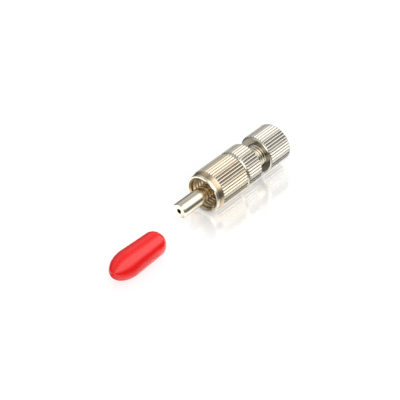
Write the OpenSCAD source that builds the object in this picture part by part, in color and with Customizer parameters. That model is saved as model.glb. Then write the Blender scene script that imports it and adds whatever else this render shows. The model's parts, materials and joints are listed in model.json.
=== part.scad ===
// Threaded fibre optic connector for large-core fibre, with a loose dust cap.
// The plug's axis is X: the ferrule points to +X and the cable leaves to -X.
// The origin is on the axis at the mating plane, the shoulder that the ferrule stands on.
// The plug lies on its knurls and +Z is up. All sizes are in millimetres.

/* [Ferrule] */
// Diameter of the ferrule
ferrule_d = 3.175; // [2.9:0.005:3.3]
// Length of the ferrule ahead of the mating plane
ferrule_length = 9.8; // [7:0.1:12]
// Diameter of the hole for the fibre core
fibre_bore_d = 1; // [0.4:0.05:1.5]
// Length of the fibre hole, back from the tip
fibre_bore_length = 8.3; // [5:0.1:9]
// Bevel round the tip of the ferrule
tip_bevel = 0.25; // [0.1:0.05:0.5]
// Diameter of the shank that is pressed into the body
shank_d = 4; // [3.6:0.1:4.2]
// Length of the pressed shank
shank_length = 2.4; // [1.5:0.1:2.6]

/* [Knurls] */
// Number of teeth round each knurled piece
teeth = 42; // [30:1:56]
// Depth of the grooves between the teeth
tooth_depth = 0.2; // [0.1:0.02:0.26]
// Share of the tooth spacing that stays as a flat land
tooth_land = 0.36; // [0.2:0.02:0.6]

/* [Coupling nut] */
// Diameter over the teeth of the coupling nut
nut_d = 8.2; // [8:0.1:10]
// Length of the coupling nut
nut_length = 8.65; // [7.5:0.05:10]
// Distance of the nut's rim ahead of the mating plane
nut_reach = 3.1; // [2.6:0.1:3.6]
// Outer diameter of the rim
rim_d = 7.5; // [7.1:0.1:7.8]
// Wall of the rim at its front face
rim_wall = 0.32; // [0.2:0.02:0.5]
// Length of the smooth cone behind the rim
cone_length = 1.7; // [1:0.1:2.5]
// Step from the smooth cone up to the tops of the teeth
cone_step = 0.12; // [0.04:0.02:0.2]
// Major diameter of the coupling thread
coupling_thread_d = 6.35; // [6:0.05:6.5]
// Length of the bevel that leads into the thread
thread_lead_in = 0.4; // [0.2:0.05:0.8]
// Distance that the threaded bore runs behind the mating plane
thread_run_out = 0.9; // [0.6:0.1:1.4]

/* [Body] */
// Diameter of the journal that the coupling nut turns on
journal_d = 5.5; // [5.3:0.05:5.7]
// Diameter over the teeth of the collar
collar_d = 8.2; // [7.6:0.1:10]
// Length of the collar
collar_length = 3.8; // [2.5:0.1:6]
// Gap between the coupling nut and the collar
collar_gap = 0.3; // [0.15:0.05:0.6]
// Height of the bevel at the front of the collar
collar_bevel = 0.4; // [0.2:0.05:0.6]
// Length of the bevel at the front of the collar
collar_bevel_length = 0.45; // [0.2:0.05:0.8]
// Outer diameter of the stud
stud_thread_d = 4.5; // [4.2:0.1:5]
// Depth of the thread cut into the stud
stud_thread_depth = 0.325; // [0.2:0.025:0.4]
// Length of the stud behind the collar
stud_length = 4.75; // [4.5:0.05:6]
// Diameter of the bore for the jacketed fibre
jacket_bore_d = 2.3; // [1.8:0.1:2.5]
// Diameter of the cone's mouth in the end of the stud
seat_d = 3.3; // [2.9:0.1:3.4]

/* [Retaining ring] */
// Thickness of the split ring along the axis
ring_thickness = 0.5; // [0.3:0.05:0.7]
// Height of the ring from its hole to its rim
ring_height = 0.65; // [0.5:0.05:0.75]
// Width of the split in the ring
ring_split = 1.2; // [0.5:0.1:2]
// Distance from the mating plane to the ring's front face
ring_setback = 3.45; // [3.3:0.05:3.7]
// Free slide of the coupling nut towards the tip
slide_forward = 0.5; // [0.2:0.05:0.6]

/* [Clamp nut] */
// Diameter over the teeth of the clamp nut
clamp_nut_d = 8; // [7:0.1:9]
// Length of the clamp nut
clamp_nut_length = 5.8; // [5.5:0.1:8]
// Length of stud that shows between the collar and the clamp nut
clamp_gap = 2.95; // [2.5:0.05:3.3]
// Height of the bevel at each end of the clamp nut
clamp_bevel = 0.4; // [0.2:0.05:0.6]
// Length of the bevel at the front of the clamp nut
clamp_front_bevel_length = 0.3; // [0.2:0.05:0.6]
// Length of the bevel at the back of the clamp nut
clamp_back_bevel_length = 0.4; // [0.2:0.05:0.6]
// Thickness of the wall at the back of the clamp nut
clamp_wall = 1; // [0.6:0.1:1.6]
// Diameter of the hole where the cable goes in
cable_entry_d = 2.7; // [2.4:0.1:3]

/* [Collet] */
// Outer diameter of the clamping collet
collet_d = 3.7; // [3.4:0.1:3.8]
// Length of the collet's tapered nose
collet_nose = 1.5; // [1:0.1:1.8]
// Number of slots in the collet
collet_slots = 4; // [3:1:6]
// Width of each slot
collet_slot_w = 0.45; // [0.3:0.05:0.6]
// Length of each slot, back from the nose
collet_slot_length = 2; // [1.5:0.1:2.3]
// Distance that the clamp nut screws up until the collet is tight
clamp_travel = 1.2; // [0.6:0.1:1.4]

/* [Dust cap] */
// Length of the cap
cap_length = 13.35; // [12:0.05:16]
// Diameter of the cap where its dome begins
cap_closed_d = 5.46; // [5:0.02:6.5]
// Diameter that the cap's side would have at the mouth
cap_open_d = 5; // [4.6:0.1:5.4]
// Length of the domed end
cap_dome = 4.6; // [2.5:0.1:6]
// Radius that rounds the outside of the mouth
cap_lip_radius = 2.1; // [0.6:0.1:2.4]
// Diameter of the hole that grips the ferrule
cap_bore_d = 3.1; // [2.8:0.05:3.3]
// Depth of the hole in the cap
cap_bore_depth = 10; // [8:0.1:11]
// Distance of the cap's mouth ahead of the ferrule's tip
cap_distance = 7.2; // [2:0.1:20]
// Distance of the cap's mouth to the side of the plug's axis
cap_offset = 1.5; // [0:0.1:6]
// Turn of the cap on the surface from the plug's axis
cap_turn = 2; // [0:0.5:20]

/* [Fits] */
// Radial gap between pieces that turn or slide in each other
running_gap = 0.05; // [0.02:0.01:0.08]
// Gap that keeps end faces clear where pieces slide
end_gap = 0.02; // [0.01:0.01:0.04]

/* [Hidden] */
$fn = 96;
brass_colour = [0.82, 0.76, 0.64];
nickel_colour = [0.8, 0.79, 0.75];
cap_colour = [0.85, 0.1, 0.09];
// Small bevel that breaks the sharp edges
edge = 0.12;
// Length that cutting shapes run past the faces they cut
over = 1;

ferrule_r = ferrule_d / 2;
journal_r = journal_d / 2;
jacket_r = jacket_bore_d / 2;
stud_r = stud_thread_d / 2;
stud_core_r = stud_r - stud_thread_depth;

// Places along the axis
nut_back = nut_reach - nut_length;
collar_front = nut_back - collar_gap;
collar_back = collar_front - collar_length;
stud_end = collar_back - stud_length;
clamp_front = collar_back - clamp_gap;
clamp_back = clamp_front - clamp_nut_length;
collet_back = clamp_back + clamp_wall;
ring_front = -ring_setback;
ring_back = ring_front - ring_thickness;

// The ring fills the nut's groove and has room to slide in the body's groove
ring_in_r = journal_r - ring_height / 2 + running_gap;
ring_out_r = ring_in_r + ring_height;
body_groove_r = ring_in_r - running_gap;
body_groove_front = ring_front + slide_forward + end_gap;
body_groove_back = ring_back - collar_gap;

// The stud's mouth and the collet's nose have the same taper
seat_length = collet_nose - end_gap;
seat_slope = (seat_d - jacket_bore_d) / 2 / seat_length;
collet_shoulder = stud_end - (collet_d - seat_d) / 2 / seat_slope - clamp_travel;
collet_tip_r = collet_d / 2 - seat_slope * collet_nose;

// The plug rests on two lands of its widest knurl
knurl_step = 360 / teeth;
knurl_land = knurl_step * tooth_land;
rest_z = -max(nut_d, collar_d, clamp_nut_d) / 2 * cos((knurl_step - knurl_land) / 2);

// The cap lies on its straight side, which runs from the rounded lip to the dome
lip_centre = cap_open_d / 2 - cap_lip_radius;
lip_end = acos((cap_bore_d / 2 + edge - lip_centre) / cap_lip_radius);
lip_length = cap_lip_radius * sin(lip_end);
dome_start = cap_length - cap_dome;
cap_slope = atan((cap_closed_d - cap_open_d) / 2 / (dome_start - lip_length));
cap_axis_z = rest_z + cap_open_d / 2 * cos(cap_slope) + lip_length * sin(cap_slope);

// Stands a profile, drawn as [radius, place along the axis], round the X axis
module turned(profile) {
    rotate([0, 90, 0]) rotate_extrude() polygon(profile);
}

// A bar with V-grooves along it, and a groove straight under the axis
module knurled_bar(d, back, front) {
    tooth = [[d / 2, (knurl_step - knurl_land) / 2], [d / 2, (knurl_step + knurl_land) / 2],
        [d / 2 - tooth_depth, knurl_step]];
    outline = [for (i = [0 : teeth - 1], corner = tooth) let (a = i * knurl_step + corner[1])
        corner[0] * [cos(a), sin(a)]];
    translate([back, 0, 0]) rotate([0, 90, 0]) linear_extrude(front - back) polygon(outline);
}

// A knurled bar with a bevel at each end: each bevel is [height, length]
module knurled_ring(d, back, front, back_bevel, front_bevel) {
    intersection() {
        knurled_bar(d, back, front);
        turned([[0, back], [d / 2 - back_bevel[0], back], [d / 2, back + back_bevel[1]],
            [d / 2, front - front_bevel[1]], [d / 2 - front_bevel[0], front], [0, front]]);
    }
}

module ferrule() {
    funnel_start = ferrule_length - fibre_bore_length;
    color(nickel_colour) turned([
        [fibre_bore_d / 2, ferrule_length], [ferrule_r - tip_bevel, ferrule_length],
        [ferrule_r, ferrule_length - tip_bevel], [ferrule_r, 0], [shank_d / 2, 0],
        [shank_d / 2, -shank_length], [jacket_r, -shank_length], [fibre_bore_d / 2, funnel_start]]);
}

module connector_body() {
    color(nickel_colour) difference() {
        union() {
            turned([[0, 0], [journal_r - edge, 0], [journal_r, -edge],
                [journal_r, body_groove_front], [body_groove_r, body_groove_front],
                [body_groove_r, body_groove_back], [journal_r, body_groove_back],
                [journal_r, collar_front - edge], [0, collar_front - edge]]);
            knurled_ring(collar_d, collar_back, collar_front, [edge, edge],
                [collar_bevel, collar_bevel_length]);
            turned([[0, collar_back + edge], [stud_core_r, collar_back + edge],
                [stud_core_r, stud_end], [0, stud_end]]);
        }
        turned([[0, over], [shank_d / 2, over], [shank_d / 2, -shank_length], [0, -shank_length]]);
        turned([[0, over], [jacket_r, over], [jacket_r, stud_end + seat_length], [seat_d / 2, stud_end],
            [seat_d / 2, stud_end - over], [0, stud_end - over]]);
    }
}

module retaining_ring() {
    color(nickel_colour) difference() {
        turned([[ring_in_r, ring_front], [ring_out_r, ring_front],
            [ring_out_r, ring_back], [ring_in_r, ring_back]]);
        translate([ring_back - over, -ring_split / 2, 0])
            cube([ring_thickness + 2 * over, ring_split, ring_out_r + over]);
    }
}

module coupling_nut() {
    cone_back = nut_reach - cone_length;
    mouth_r = rim_d / 2 - rim_wall;
    thread_r = coupling_thread_d / 2;
    bore_r = journal_r + running_gap;
    groove_r = ring_out_r + running_gap;
    color(brass_colour) difference() {
        union() {
            turned([[0, cone_back - edge], [nut_d / 2 - cone_step, cone_back - edge],
                [nut_d / 2 - cone_step, cone_back], [rim_d / 2, nut_reach], [0, nut_reach]]);
            knurled_ring(nut_d, nut_back, cone_back, [edge, edge], [edge, edge]);
        }
        turned([[0, nut_reach + over], [mouth_r, nut_reach + over], [mouth_r, nut_reach],
            [thread_r, nut_reach - thread_lead_in], [thread_r, -thread_run_out],
            [bore_r, -thread_run_out], [bore_r, ring_front + end_gap], [groove_r, ring_front + end_gap],
            [groove_r, ring_back - end_gap], [bore_r, ring_back - end_gap],
            [bore_r, nut_back - over], [0, nut_back - over]]);
    }
}

module clamping_collet() {
    color(brass_colour) difference() {
        turned([[jacket_r, collet_back], [collet_d / 2, collet_back], [collet_d / 2, collet_shoulder],
            [collet_tip_r, collet_shoulder + collet_nose], [jacket_r, collet_shoulder + collet_nose]]);
        for (i = [0 : collet_slots - 1])
            rotate([45 + i * 360 / collet_slots, 0, 0])
                translate([collet_shoulder + collet_nose - collet_slot_length, 0, -collet_slot_w / 2])
                    cube([collet_slot_length + over, collet_d, collet_slot_w]);
    }
}

module clamp_nut() {
    bore_r = stud_r + running_gap;
    pocket_r = collet_d / 2 + running_gap;
    pocket_front = stud_end - clamp_travel - edge;
    entry_r = cable_entry_d / 2;
    color(nickel_colour) difference() {
        knurled_ring(clamp_nut_d, clamp_back, clamp_front, [clamp_bevel, clamp_back_bevel_length],
            [clamp_bevel, clamp_front_bevel_length]);
        turned([[0, clamp_front + over], [bore_r, clamp_front + over], [bore_r, pocket_front],
            [pocket_r, pocket_front], [pocket_r, collet_back], [entry_r, collet_back],
            [entry_r, clamp_back + edge], [entry_r + edge, clamp_back],
            [entry_r + edge, clamp_back - over], [0, clamp_back - over]]);
    }
}

// The cap is drawn with its mouth at zero and its dome ahead, then laid on its side
module dust_cap() {
    bore_r = cap_bore_d / 2;
    lip = [for (i = [0 : 12]) let (a = lip_end * (1 - i / 12))
        [lip_centre + cap_lip_radius * cos(a), lip_length - cap_lip_radius * sin(a)]];
    dome = [for (i = [0 : 16]) let (a = 90 * i / 16)
        [cap_closed_d / 2 * cos(a), dome_start + cap_dome * sin(a)]];
    color(cap_colour)
        translate([ferrule_length + cap_distance, cap_offset, cap_axis_z])
            rotate([0, 0, cap_turn]) rotate([0, -cap_slope, 0]) difference() {
                turned(concat([[0, 0]], lip, dome));
                turned([[0, -over], [bore_r, -over], [bore_r, cap_bore_depth], [0, cap_bore_depth]]);
            }
}

ferrule();
connector_body();
retaining_ring();
coupling_nut();
clamping_collet();
clamp_nut();
dust_cap();
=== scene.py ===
"""A threaded fibre plug with its dust cap lying ahead of it, on a white studio floor."""
import json
import math

import bmesh
import bpy
from mathutils import Matrix, Vector


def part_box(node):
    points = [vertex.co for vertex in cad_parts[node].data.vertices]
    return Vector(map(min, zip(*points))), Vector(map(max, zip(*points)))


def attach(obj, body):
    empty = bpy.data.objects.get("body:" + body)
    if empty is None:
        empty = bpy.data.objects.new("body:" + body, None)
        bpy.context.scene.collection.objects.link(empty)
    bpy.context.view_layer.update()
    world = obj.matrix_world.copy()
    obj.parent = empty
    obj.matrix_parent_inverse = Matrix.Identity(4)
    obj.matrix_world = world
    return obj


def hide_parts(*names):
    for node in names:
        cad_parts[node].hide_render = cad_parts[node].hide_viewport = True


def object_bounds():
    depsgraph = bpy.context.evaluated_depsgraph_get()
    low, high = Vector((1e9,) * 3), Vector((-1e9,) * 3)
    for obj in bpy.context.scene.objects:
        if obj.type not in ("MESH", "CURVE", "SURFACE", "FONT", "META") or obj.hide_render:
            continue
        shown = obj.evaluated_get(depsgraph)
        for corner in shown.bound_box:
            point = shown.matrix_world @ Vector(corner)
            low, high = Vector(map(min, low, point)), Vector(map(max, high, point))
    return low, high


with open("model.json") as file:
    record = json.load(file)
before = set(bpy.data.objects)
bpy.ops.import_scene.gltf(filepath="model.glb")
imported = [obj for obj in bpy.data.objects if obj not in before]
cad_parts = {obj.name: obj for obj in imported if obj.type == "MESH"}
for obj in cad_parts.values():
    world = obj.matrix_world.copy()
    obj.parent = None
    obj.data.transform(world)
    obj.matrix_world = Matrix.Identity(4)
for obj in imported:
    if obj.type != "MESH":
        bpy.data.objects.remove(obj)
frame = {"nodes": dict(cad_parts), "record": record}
cad_low, cad_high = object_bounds()
scene = bpy.context.scene
mounts = {m["name"]: m for m in frame["record"]["mounts"]}

# ---------------------------------------------------------------- sizes, in millimetres
MM = 0.001


def ends(node):
    """The back and the front of a CAD node along the plug's axis, and its outer radius."""
    low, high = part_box(node)
    return low.x / MM, high.x / MM, (high.y - low.y) / 2 / MM


NUT_BACK, NUT_FRONT, NUT_R = ends("coupling_nut")
BODY_BACK, _, COLLAR_R = ends("connector_body")
CLAMP_BACK, CLAMP_FRONT, CLAMP_R = ends("clamp_nut")
SHANK_BACK, FERRULE_TIP, SHANK_R = ends("ferrule")
FERRULE_R = mounts["ferrule"]["dims"]["r_mm"]
FIBRE_R = mounts["fibre_bore"]["dims"]["r_mm"]
FIBRE_LENGTH = mounts["fibre_bore"]["dims"]["length_mm"]
JACKET_R = mounts["jacket_bore"]["dims"]["r_mm"]
ENTRY_R = mounts["cable_entry"]["dims"]["r_mm"]
TIP_BEVEL = 0.25
EDGE = 0.12
CORNER = 0.03
RUNNING_GAP = 0.05

# The three knurls. The land is a share of the spacing between two grooves
TEETH = 42
TOOTH_DEPTH = 0.22
TOOTH_LAND = 0.2

# The coupling nut, with its rim, its cone and the thread inside
RIM_R = 3.8
MOUTH_R = 3.47
CONE_BACK = NUT_FRONT - 1.7
CONE_END_R = NUT_R - EDGE
THREAD_BORE_R = 3.175
THREAD_CREST_R = 2.8
THREAD_FRONT = NUT_FRONT - 0.3
THREAD_BACK = -0.9
COUPLING_PITCH = 25.4 / 36
COUPLING_ROOT_W = 0.62
COUPLING_CREST_W = 0.12
COUPLING_START = THREAD_BACK + 0.35
COUPLING_END = THREAD_FRONT - 0.3

# The journal that the coupling nut turns on, and the ring that holds it there
JOURNAL_R = 2.75
NUT_BORE_R = JOURNAL_R + RUNNING_GAP
RING_FRONT = -3.45
RING_BACK = -3.95
RING_IN_R = 2.475
RING_OUT_R = 3.125
GROOVE_FRONT = RING_FRONT + 0.52
GROOVE_BACK = RING_BACK - 0.3
GROOVE_R = RING_IN_R - RUNNING_GAP

# The collar, the stud and the clamp nut
COLLAR_FRONT = NUT_BACK - 0.3
COLLAR_BACK = COLLAR_FRONT - 3.8
COLLAR_BEVEL_DEPTH = 0.4
COLLAR_BEVEL_LENGTH = 0.45
STUD_R = 2.25
STUD_CORE_R = 1.925
STUD_PITCH = 0.6
STUD_ROOT_W = 0.5
STUD_CREST_W = 0.08
STUD_START = BODY_BACK + 0.3
STUD_END = COLLAR_BACK - 0.3
SEAT_R = 1.66
SEAT_FRONT = BODY_BACK + 1.51
CLAMP_BORE_R = STUD_R + RUNNING_GAP
CLAMP_BEVEL = 0.4
CLAMP_FRONT_BEVEL_LENGTH = 0.3
POCKET_R = 1.9
POCKET_FRONT = -15.72
COLLET_BACK = CLAMP_BACK + 1.0

# The dust cap, from its mouth. AXIS_R stands in for zero, where its dome and its bore close
CAP_LENGTH = 13.35
CAP_CLOSED_R = 2.73
CAP_OPEN_R = 2.5
CAP_DOME = 4.6
CAP_LIP_R = 2.1
CAP_BORE_R = mounts["cap_socket"]["dims"]["r_mm"]
CAP_BORE_DEPTH = mounts["cap_socket"]["dims"]["length_mm"]
LIP_STEPS = 16
DOME_STEPS = 32
AXIS_R = 0.001


# ---------------------------------------------------------------- shapes
SMOOTH_ANGLE = math.radians(35)


def add_mesh(name, shape, material, body):
    """A mesh from (points in millimetres, faces), smooth but for edges sharper than SMOOTH_ANGLE."""
    verts, faces = shape
    mesh = bpy.data.meshes.new(name)
    mesh.from_pydata([(x * MM, y * MM, z * MM) for x, y, z in verts], [], faces)
    work = bmesh.new()
    work.from_mesh(mesh)
    bmesh.ops.remove_doubles(work, verts=work.verts, dist=1e-8)
    bmesh.ops.recalc_face_normals(work, faces=work.faces)
    work.to_mesh(mesh)
    work.free()
    mesh.polygons.foreach_set("use_smooth", [True] * len(mesh.polygons))
    mesh.set_sharp_from_angle(angle=SMOOTH_ANGLE)
    mesh.materials.append(material)
    piece = bpy.data.objects.new(name, mesh)
    scene.collection.objects.link(piece)
    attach(piece, body)
    return piece


def rings_of(legs):
    """The rings of a closed profile: each leg is (place, radius, steps to the next point, knurled)."""
    rings = []
    for (x, r, steps, knurled), following in zip(legs, legs[1:] + legs[:1]):
        rings += [
            (x + (following[0] - x) * i / steps, r + (following[1] - r) * i / steps, knurled)
            for i in range(steps)
        ]
    return rings


def turned(legs, tooth_r=None, around=144):
    """A closed profile turned about the plug's axis. Knurled rings are cut back to teeth of tooth_r."""
    if tooth_r:
        angles, teeth = knurl(tooth_r)
    else:
        angles, teeth = [2 * math.pi * j / around for j in range(around)], None
    rings = rings_of(legs)
    verts = []
    for x, r, knurled in rings:
        for j, a in enumerate(angles):
            reach = min(r, teeth[j]) if knurled else r
            verts.append((x, reach * math.cos(a), reach * math.sin(a)))
    n = len(angles)
    count = len(rings)
    faces = [
        (i * n + j, i * n + (j + 1) % n, (i + 1) % count * n + (j + 1) % n, (i + 1) % count * n + j)
        for i in range(count) for j in range(n)
    ]
    return verts, faces


def knurl(radius):
    """The angles round a straight-knurled piece, and the radius of its teeth at each one."""
    step = 2 * math.pi / TEETH
    edge = 0.5 - TOOTH_LAND / 2
    # Share of the spacing from the middle of a groove, and share of the tooth's height
    rise = [(0, 0.02), (0.03, 0.06), (edge - 0.02, 0.92), (edge + 0.02, 0.98), (0.5, 1)]
    tooth = rise + [(1 - share, height) for share, height in reversed(rise[1:-1])]
    down = -math.pi / 2
    angles = [down + (i + share) * step for i in range(TEETH) for share, _ in tooth]
    radii = [radius - TOOTH_DEPTH * (1 - height) for _ in range(TEETH) for _, height in tooth]
    return angles, radii


def thread(root_r, crest_r, root_w, crest_w, pitch, start, end, bevel, around=72):
    """A helical ridge on a wall of radius root_r. It grows out of the wall over a third of a turn at both
    ends. bevel holds the radius at a place to what the bevelled end of the piece leaves there."""
    count = int((end - start) / pitch * around)
    # Place across the ridge, and share of its height. Its root is sunk into the wall
    section = [
        (-root_w / 2, -0.1), (-root_w / 2, 0), (-crest_w / 2, 0.93), (-crest_w / 4, 1),
        (crest_w / 4, 1), (crest_w / 2, 0.93), (root_w / 2, 0), (root_w / 2, -0.1),
    ]
    verts = []
    for i in range(count + 1):
        a = 2 * math.pi * i / around
        grown = min(1, 3 * i / around, 3 * (count - i) / around)
        for place, height in section:
            x = start + pitch * i / around + place
            r = bevel(x, root_r + (crest_r - root_r) * (height * grown if height > 0 else height))
            verts.append((x, r * math.cos(a), r * math.sin(a)))
    n = len(section)
    faces = [
        (i * n + j, i * n + (j + 1) % n, (i + 1) * n + (j + 1) % n, (i + 1) * n + j)
        for i in range(count) for j in range(n)
    ]
    return verts, faces + [tuple(range(n)), tuple(range(count * n, count * n + n))]


# ---------------------------------------------------------------- materials
def builder(tree):
    """A helper that adds a node and fills its inputs, and one that gives a socket a value or a link."""
    def feed(socket, value):
        if isinstance(value, bpy.types.NodeSocket):
            tree.links.new(value, socket)
        else:
            socket.default_value = value

    def node(kind, **inputs):
        """set_ leads the name of a property, in leads the number of an input, others are input names."""
        added = tree.nodes.new(kind)
        for key, value in inputs.items():
            if key.startswith("set_"):
                setattr(added, key[4:], value)
            elif key.startswith("in"):
                feed(added.inputs[int(key[2:])], value)
            else:
                feed(added.inputs[key], value)
        return added

    return node, feed


def calc(node, operation, *values):
    """The result of a math node."""
    inputs = {"in%d" % i: value for i, value in enumerate(values)}
    return node("ShaderNodeMath", set_operation=operation, **inputs).outputs[0]


def fade(node, length, start, end, at_start, at_end):
    """A value that goes from at_start to at_end while a length goes from start to end, in millimetres."""
    added = node("ShaderNodeMapRange", Value=length, in1=start * MM, in2=end * MM, in3=at_start, in4=at_end)
    return added.outputs[0]


def spread(node, noise, low, high):
    """The middle of a noise's range, spread between two values."""
    return node("ShaderNodeMapRange", Value=noise, in1=0.3, in2=0.7, in3=low, in4=high).outputs[0]


def new_material(name, roughness, metallic=1.0):
    """A material, with a helper that adds nodes and one that sets or links an input of its shader."""
    made = bpy.data.materials.new(name)
    made.use_nodes = True
    shader = made.node_tree.nodes["Principled BSDF"]
    node, feed = builder(made.node_tree)

    def to_shader(key, value):
        feed(shader.inputs[key], value)

    to_shader("Roughness", roughness)
    to_shader("Metallic", metallic)
    return made, node, to_shader


def plated(name, colour, painted_shade_and_patch_colour, roughness, crest_r=None, inside_r=0.0):
    """A turned metal piece. Its second colour is painted shade, in the knurl's grooves and within the inside
    radius, where bores and sunk faces fall in shade; a piece without a knurl takes it in random patches."""
    made, node, to_shader = new_material(name, roughness)
    place = node("ShaderNodeTexCoord").outputs["Object"]
    axes = node("ShaderNodeSeparateXYZ", in0=place).outputs
    flat = node("ShaderNodeCombineXYZ", in1=axes["Y"], in2=axes["Z"]).outputs[0]
    radius = node("ShaderNodeVectorMath", set_operation="LENGTH", in0=flat).outputs["Value"]
    mottle = node("ShaderNodeTexNoise", Vector=place, Scale=900.0, Detail=3.0).outputs["Fac"]
    if crest_r:
        root_r = crest_r - TOOTH_DEPTH
        # Painted shade: darker towards the bottom of each knurl groove, and all over within the inside
        # radius
        groove_shade = fade(node, radius, root_r, crest_r, 1.0, 0.0)
        knurled = calc(node, "GREATER_THAN", radius, (root_r - CORNER) * MM)
        inside_shade = calc(node, "LESS_THAN", radius, inside_r * MM)
        shade_and_mottle_share = calc(node, "MAXIMUM", calc(node, "MULTIPLY", groove_shade, knurled), inside_shade)
    else:
        shade_and_mottle_share = mottle
    mixed = node("ShaderNodeMix", set_data_type="RGBA", in0=shade_and_mottle_share, in6=(*colour, 1), in7=(*painted_shade_and_patch_colour, 1))
    to_shader("Base Color", mixed.outputs[2])
    to_shader("Roughness", spread(node, mottle, roughness * 0.85, roughness * 1.2))
    lines = node("ShaderNodeCombineXYZ", in0=axes["X"], in1=radius).outputs[0]
    turning = node("ShaderNodeTexNoise", Vector=lines, Scale=12000.0, Detail=2.0).outputs["Fac"]
    bump = node("ShaderNodeBump", Strength=0.2, Distance=0.000004, Height=turning)
    to_shader("Normal", bump.outputs[0])
    return made


def plastic(name, colour, roughness):
    """Soft glossy moulded plastic."""
    made, node, to_shader = new_material(name, roughness, metallic=0.0)
    to_shader("Specular IOR Level", 0.7)
    to_shader("Subsurface Weight", 0.4)
    to_shader("Subsurface Radius", (1.0, 0.2, 0.1))
    to_shader("Subsurface Scale", 0.0012)
    place = node("ShaderNodeTexCoord").outputs["Object"]
    ripple = node("ShaderNodeTexNoise", Vector=place, Scale=300.0, Detail=1.0).outputs["Fac"]
    paler = tuple(min(1, 1.06 * c) for c in colour)
    tint = node("ShaderNodeMix", set_data_type="RGBA", in0=ripple, in6=(*colour, 1), in7=(*paler, 1))
    to_shader("Base Color", tint.outputs[2])
    to_shader("Roughness", spread(node, ripple, roughness * 0.9, roughness * 1.15))
    bump = node("ShaderNodeBump", Strength=0.1, Distance=0.00001, Height=ripple)
    to_shader("Normal", bump.outputs[0])
    return made


# The second colour of each knurled plate is painted shade in its knurl's grooves and within the given
# radius: over the coupling nut's bore and thread, in the stud's thread grooves and the body's bores, and
# over the clamp nut's faces and bores. The ferrule, the brass and the steel take it in random patches.
nut_plate = plated("nut_plate", (0.90, 0.84, 0.71), (0.54, 0.41, 0.25), 0.2, NUT_R, MOUTH_R)
collar_plate = plated(
    "collar_plate", (0.88, 0.84, 0.75), (0.50, 0.44, 0.34), 0.2, COLLAR_R, STUD_CORE_R + CORNER)
clamp_plate = plated(
    "clamp_plate", (0.88, 0.85, 0.78), (0.50, 0.46, 0.37), 0.2, CLAMP_R, CLAMP_R - CLAMP_BEVEL)
ferrule_plate = plated("ferrule_plate", (0.84, 0.78, 0.65), (0.78, 0.71, 0.57), 0.2)
bare_brass = plated("bare_brass", (0.70, 0.52, 0.26), (0.60, 0.42, 0.20), 0.25)
spring_steel = plated("spring_steel", (0.42, 0.42, 0.43), (0.34, 0.34, 0.35), 0.3)
red_plastic = plastic("red_plastic", (0.88, 0.005, 0.004), 0.17)


# ---------------------------------------------------------------- pieces
def coupling_nut():
    """The nut with its rim, cone, knurl, bore and ring groove, and the ridge of its thread."""
    shell = turned([
        (NUT_FRONT, MOUTH_R + CORNER, 2, False), (NUT_FRONT, RIM_R - CORNER, 1, False),
        (NUT_FRONT - CORNER, RIM_R, 6, False), (CONE_BACK, CONE_END_R, 1, False),
        (CONE_BACK, CONE_END_R, 6, True), (CONE_BACK - EDGE, NUT_R, 12, True),
        (NUT_BACK + EDGE, NUT_R, 8, True), (NUT_BACK, NUT_R - EDGE, 4, True),
        (NUT_BACK, NUT_R - TOOTH_DEPTH - CORNER, 2, False), (NUT_BACK, NUT_BORE_R, 2, False),
        (RING_BACK, NUT_BORE_R, 1, False), (RING_BACK, RING_OUT_R + RUNNING_GAP, 1, False),
        (RING_FRONT, RING_OUT_R + RUNNING_GAP, 1, False), (RING_FRONT, NUT_BORE_R, 3, False),
        (THREAD_BACK, NUT_BORE_R, 2, False), (THREAD_BACK, THREAD_BORE_R, 6, False),
        (THREAD_FRONT, THREAD_BORE_R, 3, False), (NUT_FRONT - CORNER, MOUTH_R, 1, False),
    ], NUT_R)
    nut = add_mesh("coupling_nut_shell", shell, nut_plate, "coupling_nut")
    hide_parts("coupling_nut")
    ridge = thread(
        THREAD_BORE_R, THREAD_CREST_R, COUPLING_ROOT_W, COUPLING_CREST_W, COUPLING_PITCH,
        COUPLING_START, COUPLING_END, lambda x, r: max(r, MOUTH_R - (NUT_FRONT - x)))
    add_mesh("coupling_nut_thread", ridge, nut_plate, "coupling_nut")


def connector_body():
    """The journal with its ring groove, the knurled collar and the stud, and the ridge of its thread."""
    shell = turned([
        (0, SHANK_R, 2, False), (0, JOURNAL_R - EDGE, 1, False), (-EDGE, JOURNAL_R, 3, False),
        (GROOVE_FRONT, JOURNAL_R, 1, False), (GROOVE_FRONT, GROOVE_R, 2, False),
        (GROOVE_BACK, GROOVE_R, 1, False), (GROOVE_BACK, JOURNAL_R, 3, False),
        (COLLAR_FRONT, JOURNAL_R, 2, False), (COLLAR_FRONT, COLLAR_R - COLLAR_BEVEL_DEPTH, 10, True),
        (COLLAR_FRONT - COLLAR_BEVEL_LENGTH, COLLAR_R, 10, True), (COLLAR_BACK + EDGE, COLLAR_R, 5, True),
        (COLLAR_BACK, COLLAR_R - EDGE, 4, True), (COLLAR_BACK, COLLAR_R - TOOTH_DEPTH - CORNER, 3, False),
        (COLLAR_BACK, STUD_CORE_R, 8, False), (BODY_BACK + EDGE, STUD_CORE_R, 1, False),
        (BODY_BACK, STUD_CORE_R - EDGE, 1, False), (BODY_BACK, SEAT_R, 3, False),
        (SEAT_FRONT, JACKET_R, 10, False), (SHANK_BACK, JACKET_R, 1, False), (SHANK_BACK, SHANK_R, 2, False),
    ], COLLAR_R)
    body = add_mesh("connector_body_shell", shell, collar_plate, "connector")
    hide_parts("connector_body")
    ridge = thread(
        STUD_CORE_R, STUD_R, STUD_ROOT_W, STUD_CREST_W, STUD_PITCH,
        STUD_START, STUD_END, lambda x, r: min(r, STUD_CORE_R - EDGE + (x - BODY_BACK)))
    add_mesh("stud_thread", ridge, collar_plate, "connector")


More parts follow.
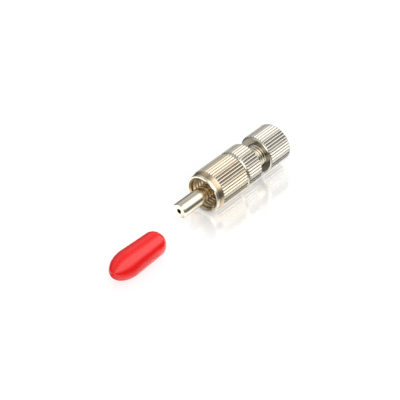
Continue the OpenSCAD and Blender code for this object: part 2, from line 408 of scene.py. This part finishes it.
def ferrule():
    """The tube with its bevelled tip, its pressed shank and the bores for fibre and jacket."""
    shell = turned([
        (FERRULE_TIP, FIBRE_R + CORNER, 2, False), (FERRULE_TIP, FERRULE_R - TIP_BEVEL, 4, False),
        (FERRULE_TIP - TIP_BEVEL, FERRULE_R, 20, False), (0, FERRULE_R, 2, False), (0, SHANK_R, 2, False),
        (SHANK_BACK, SHANK_R, 2, False), (SHANK_BACK, JACKET_R, 6, False),
        (FERRULE_TIP - FIBRE_LENGTH, FIBRE_R, 10, False), (FERRULE_TIP - CORNER, FIBRE_R, 1, False),
    ])
    piece = add_mesh("ferrule_tube", shell, ferrule_plate, "connector")
    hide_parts("ferrule")


def clamp_nut():
    """The knurled nut at the back, with the cable's hole, the collet's pocket and the bore for the stud."""
    shell = turned([
        (CLAMP_FRONT, CLAMP_BORE_R + EDGE, 4, False), (CLAMP_FRONT, CLAMP_R - CLAMP_BEVEL, 10, True),
        (CLAMP_FRONT - CLAMP_FRONT_BEVEL_LENGTH, CLAMP_R, 8, True),
        (CLAMP_BACK + CLAMP_BEVEL, CLAMP_R, 10, True),
        (CLAMP_BACK, CLAMP_R - CLAMP_BEVEL, 4, False), (CLAMP_BACK, ENTRY_R + EDGE, 1, False),
        (CLAMP_BACK + EDGE, ENTRY_R, 2, False), (COLLET_BACK, ENTRY_R, 2, False),
        (COLLET_BACK, POCKET_R, 3, False), (POCKET_FRONT, POCKET_R, 1, False),
        (POCKET_FRONT, CLAMP_BORE_R, 6, False), (CLAMP_FRONT - EDGE, CLAMP_BORE_R, 1, False),
    ], CLAMP_R)
    nut = add_mesh("clamp_nut_shell", shell, clamp_plate, "clamp_nut")
    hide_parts("clamp_nut")


def dust_cap():
    """The cap, drawn with its mouth at the origin and its dome along X, then laid where the CAD has it."""
    lip_centre = CAP_OPEN_R - CAP_LIP_R
    lip_end = math.acos((CAP_BORE_R + EDGE - lip_centre) / CAP_LIP_R)
    lip_length = CAP_LIP_R * math.sin(lip_end)
    dome_start = CAP_LENGTH - CAP_DOME
    lip = [lip_end * (1 - i / LIP_STEPS) for i in range(LIP_STEPS)]
    dome = [math.pi / 2 * i / DOME_STEPS for i in range(DOME_STEPS)]
    legs = [
        (lip_length - CAP_LIP_R * math.sin(a), lip_centre + CAP_LIP_R * math.cos(a), 1, False) for a in lip
    ]
    legs += [(lip_length, CAP_OPEN_R, 10, False)]
    legs += [(dome_start + CAP_DOME * math.sin(a), CAP_CLOSED_R * math.cos(a), 1, False) for a in dome]
    legs += [
        (CAP_LENGTH, AXIS_R, 1, False), (CAP_BORE_DEPTH, AXIS_R, 3, False),
        (CAP_BORE_DEPTH, CAP_BORE_R, 10, False), (0, CAP_BORE_R, 1, False),
    ]
    verts, faces = turned(legs)
    mouth = Vector(mounts["cap_socket"]["pos_m"]) / MM
    along = -Vector(mounts["cap_socket"]["axis"]).normalized()
    side = Vector((0, 0, 1)).cross(along).normalized()
    place = Matrix((along, side, along.cross(side))).transposed()
    laid = [tuple(mouth + place @ Vector(v)) for v in verts]
    cap = add_mesh("dust_cap_moulding", (laid, faces), red_plastic, "dust_cap")
    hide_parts("dust_cap")


def inner_pieces():
    """The ring and the collet keep their CAD shape."""
    for name, material in (("retaining_ring", spring_steel), ("clamping_collet", bare_brass)):
        slots = frame["nodes"][name].data.materials
        slots.clear()
        slots.append(material)


coupling_nut()
connector_body()
ferrule()
clamp_nut()
dust_cap()
inner_pieces()


# ---------------------------------------------------------------- stage, light and camera
# Fades over the floor: their start and end in millimetres, and the values there. ASIDE and UNDER go by
# the distance to the side of the plug's axis, and paint shade on the floor far to its sides and under it.
# AHEAD and PAST go by the place along it and set the floor's painted glow, brightest ahead of the plug.
# POLISH, the share of the mirror image, goes by the distance from the plug's middle
FLOOR_ASIDE = (5, 14, 1.0, 0.12)
FLOOR_UNDER = (1, 3.5, 0.35, 1.0)
FLOOR_AHEAD = (3, 8, 0.2, 1.0)
FLOOR_PAST = (14, 18, 1.0, 0.1)
POLISH = (11, 20, 0.45, 0.06)
PLUG_MIDDLE = -9

# Brightness of the studio round the plug's axis, by the angle from +Y up towards +Z, in degrees
STUDIO = (
    (-180, 0.25), (-150, 0.4), (-30, 0.4), (-20, 0.18), (10, 0.18), (22, 0.9), (34, 1.7), (76, 1.7),
    (92, 0.8), (110, 0.4), (128, 0.7), (150, 0.6), (166, 0.3), (180, 0.25),
)


def studio_floor():
    """A glossy white board. The camera sees it white, with faint shadows and reflections of the object.
    The object sees painted light on it: a glow, bright ahead of the plug, and painted shade under the plug
    and far to its sides."""
    bpy.ops.mesh.primitive_plane_add(size=2.4, location=(0, 0, cad_low.z))
    floor = bpy.context.object
    floor.name = "studio_floor"
    made, node, _ = new_material("floor_white", 0.5, metallic=0.0)
    place = node("ShaderNodeTexCoord").outputs["Object"]
    axes = node("ShaderNodeSeparateXYZ", in0=place).outputs
    # Only the object sees this: painted shade under the plug and far to its sides, and a painted glow that
    # lights the object like a lamp, brightest ahead of the plug
    aside = calc(node, "ABSOLUTE", axes["Y"])
    painted_floor_shade = calc(node, "MULTIPLY", fade(node, aside, *FLOOR_ASIDE), fade(node, aside, *FLOOR_UNDER))
    ahead = calc(node, "MULTIPLY", fade(node, axes["X"], *FLOOR_AHEAD), fade(node, axes["X"], *FLOOR_PAST))
    grey = node("ShaderNodeCombineColor", in0=painted_floor_shade, in1=painted_floor_shade, in2=painted_floor_shade).outputs[0]
    matt = node("ShaderNodeBsdfDiffuse", Color=grey).outputs[0]
    lit = node("ShaderNodeEmission", Strength=calc(node, "MULTIPLY", painted_floor_shade, ahead)).outputs[0]
    board = node("ShaderNodeAddShader", in0=matt, in1=lit).outputs[0]

    glow = node("ShaderNodeEmission", Strength=1.1).outputs[0]
    shadow = node("ShaderNodeBsdfDiffuse", Color=(1, 1, 1, 1)).outputs[0]
    soft = node("ShaderNodeMixShader", Fac=0.25, in1=glow, in2=shadow).outputs[0]
    gloss = node("ShaderNodeBsdfGlossy", Roughness=0.2, Color=(1.4, 1.4, 1.4, 1)).outputs[0]
    offset = node("ShaderNodeVectorMath", set_operation="ADD", in0=place, in1=(-PLUG_MIDDLE * MM, 0, 0))
    far = node("ShaderNodeVectorMath", set_operation="LENGTH", in0=offset.outputs[0]).outputs["Value"]
    seen = node("ShaderNodeMixShader", Fac=fade(node, far, *POLISH), in1=soft, in2=gloss).outputs[0]

    rays = node("ShaderNodeLightPath").outputs["Is Camera Ray"]
    both = node("ShaderNodeMixShader", in0=rays, in1=board, in2=seen).outputs[0]
    made.node_tree.links.new(both, made.node_tree.nodes["Material Output"].inputs["Surface"])
    floor.data.materials.append(made)


def studio_light():
    """The room. The camera sees it white, and the object sees STUDIO, the same all along the plug."""
    world = bpy.data.worlds.new("studio")
    scene.world = world
    world.use_nodes = True
    world.node_tree.nodes.clear()
    node, _ = builder(world.node_tree)
    way = node("ShaderNodeTexCoord").outputs["Generated"]
    axes = node("ShaderNodeSeparateXYZ", in0=way).outputs
    angle = calc(node, "ARCTAN2", axes["Z"], axes["Y"])
    turn = node("ShaderNodeMapRange", Value=angle, in1=-math.pi, in2=math.pi).outputs[0]
    ramp = node("ShaderNodeValToRGB", in0=turn)
    brightest = max(value for _, value in STUDIO)
    stops = ramp.color_ramp.elements
    for _ in STUDIO[2:]:
        stops.new(0.5)
    for stop, (degrees, _) in zip(stops, STUDIO):
        stop.position = (degrees + 180) / 360
    for stop, (_, value) in zip(stops, STUDIO):
        stop.color = (value / brightest,) * 3 + (1,)
    lit = node("ShaderNodeBackground", Color=ramp.outputs[0], Strength=brightest).outputs[0]
    seen = node("ShaderNodeBackground", Color=(1, 1, 1, 1)).outputs[0]
    rays = node("ShaderNodeLightPath").outputs["Is Camera Ray"]
    room = node("ShaderNodeMixShader", in0=rays, in1=lit, in2=seen).outputs[0]
    node("ShaderNodeOutputWorld", in0=room)


def camera():
    """A long lens, from ahead of the plug and to its left. The object's origin lies off the middle of
    the picture, by origin_right and origin_up in millimetres, and distance is in millimetres too."""
    azimuth, elevation, distance = math.radians(131.07), math.radians(39.52), 416.56
    origin_right, origin_up = 2.518, 2.587
    right = Vector((math.cos(azimuth), math.sin(azimuth), 0))
    forward = Vector((
        -math.sin(azimuth) * math.cos(elevation),
        math.cos(azimuth) * math.cos(elevation),
        -math.sin(elevation),
    ))
    up = right.cross(forward)
    to_origin = right * origin_right + up * origin_up + forward * distance
    lens = bpy.data.cameras.new("camera")
    lens.lens = 198
    lens.clip_start, lens.clip_end = 0.01, 10
    eye = bpy.data.objects.new("camera", lens)
    aim = Matrix((right, up, -forward)).transposed().to_4x4()
    eye.matrix_world = Matrix.Translation(-to_origin * MM) @ aim
    scene.collection.objects.link(eye)
    scene.camera = eye


studio_floor()
studio_light()
camera()
scene.view_settings.view_transform = "Standard"
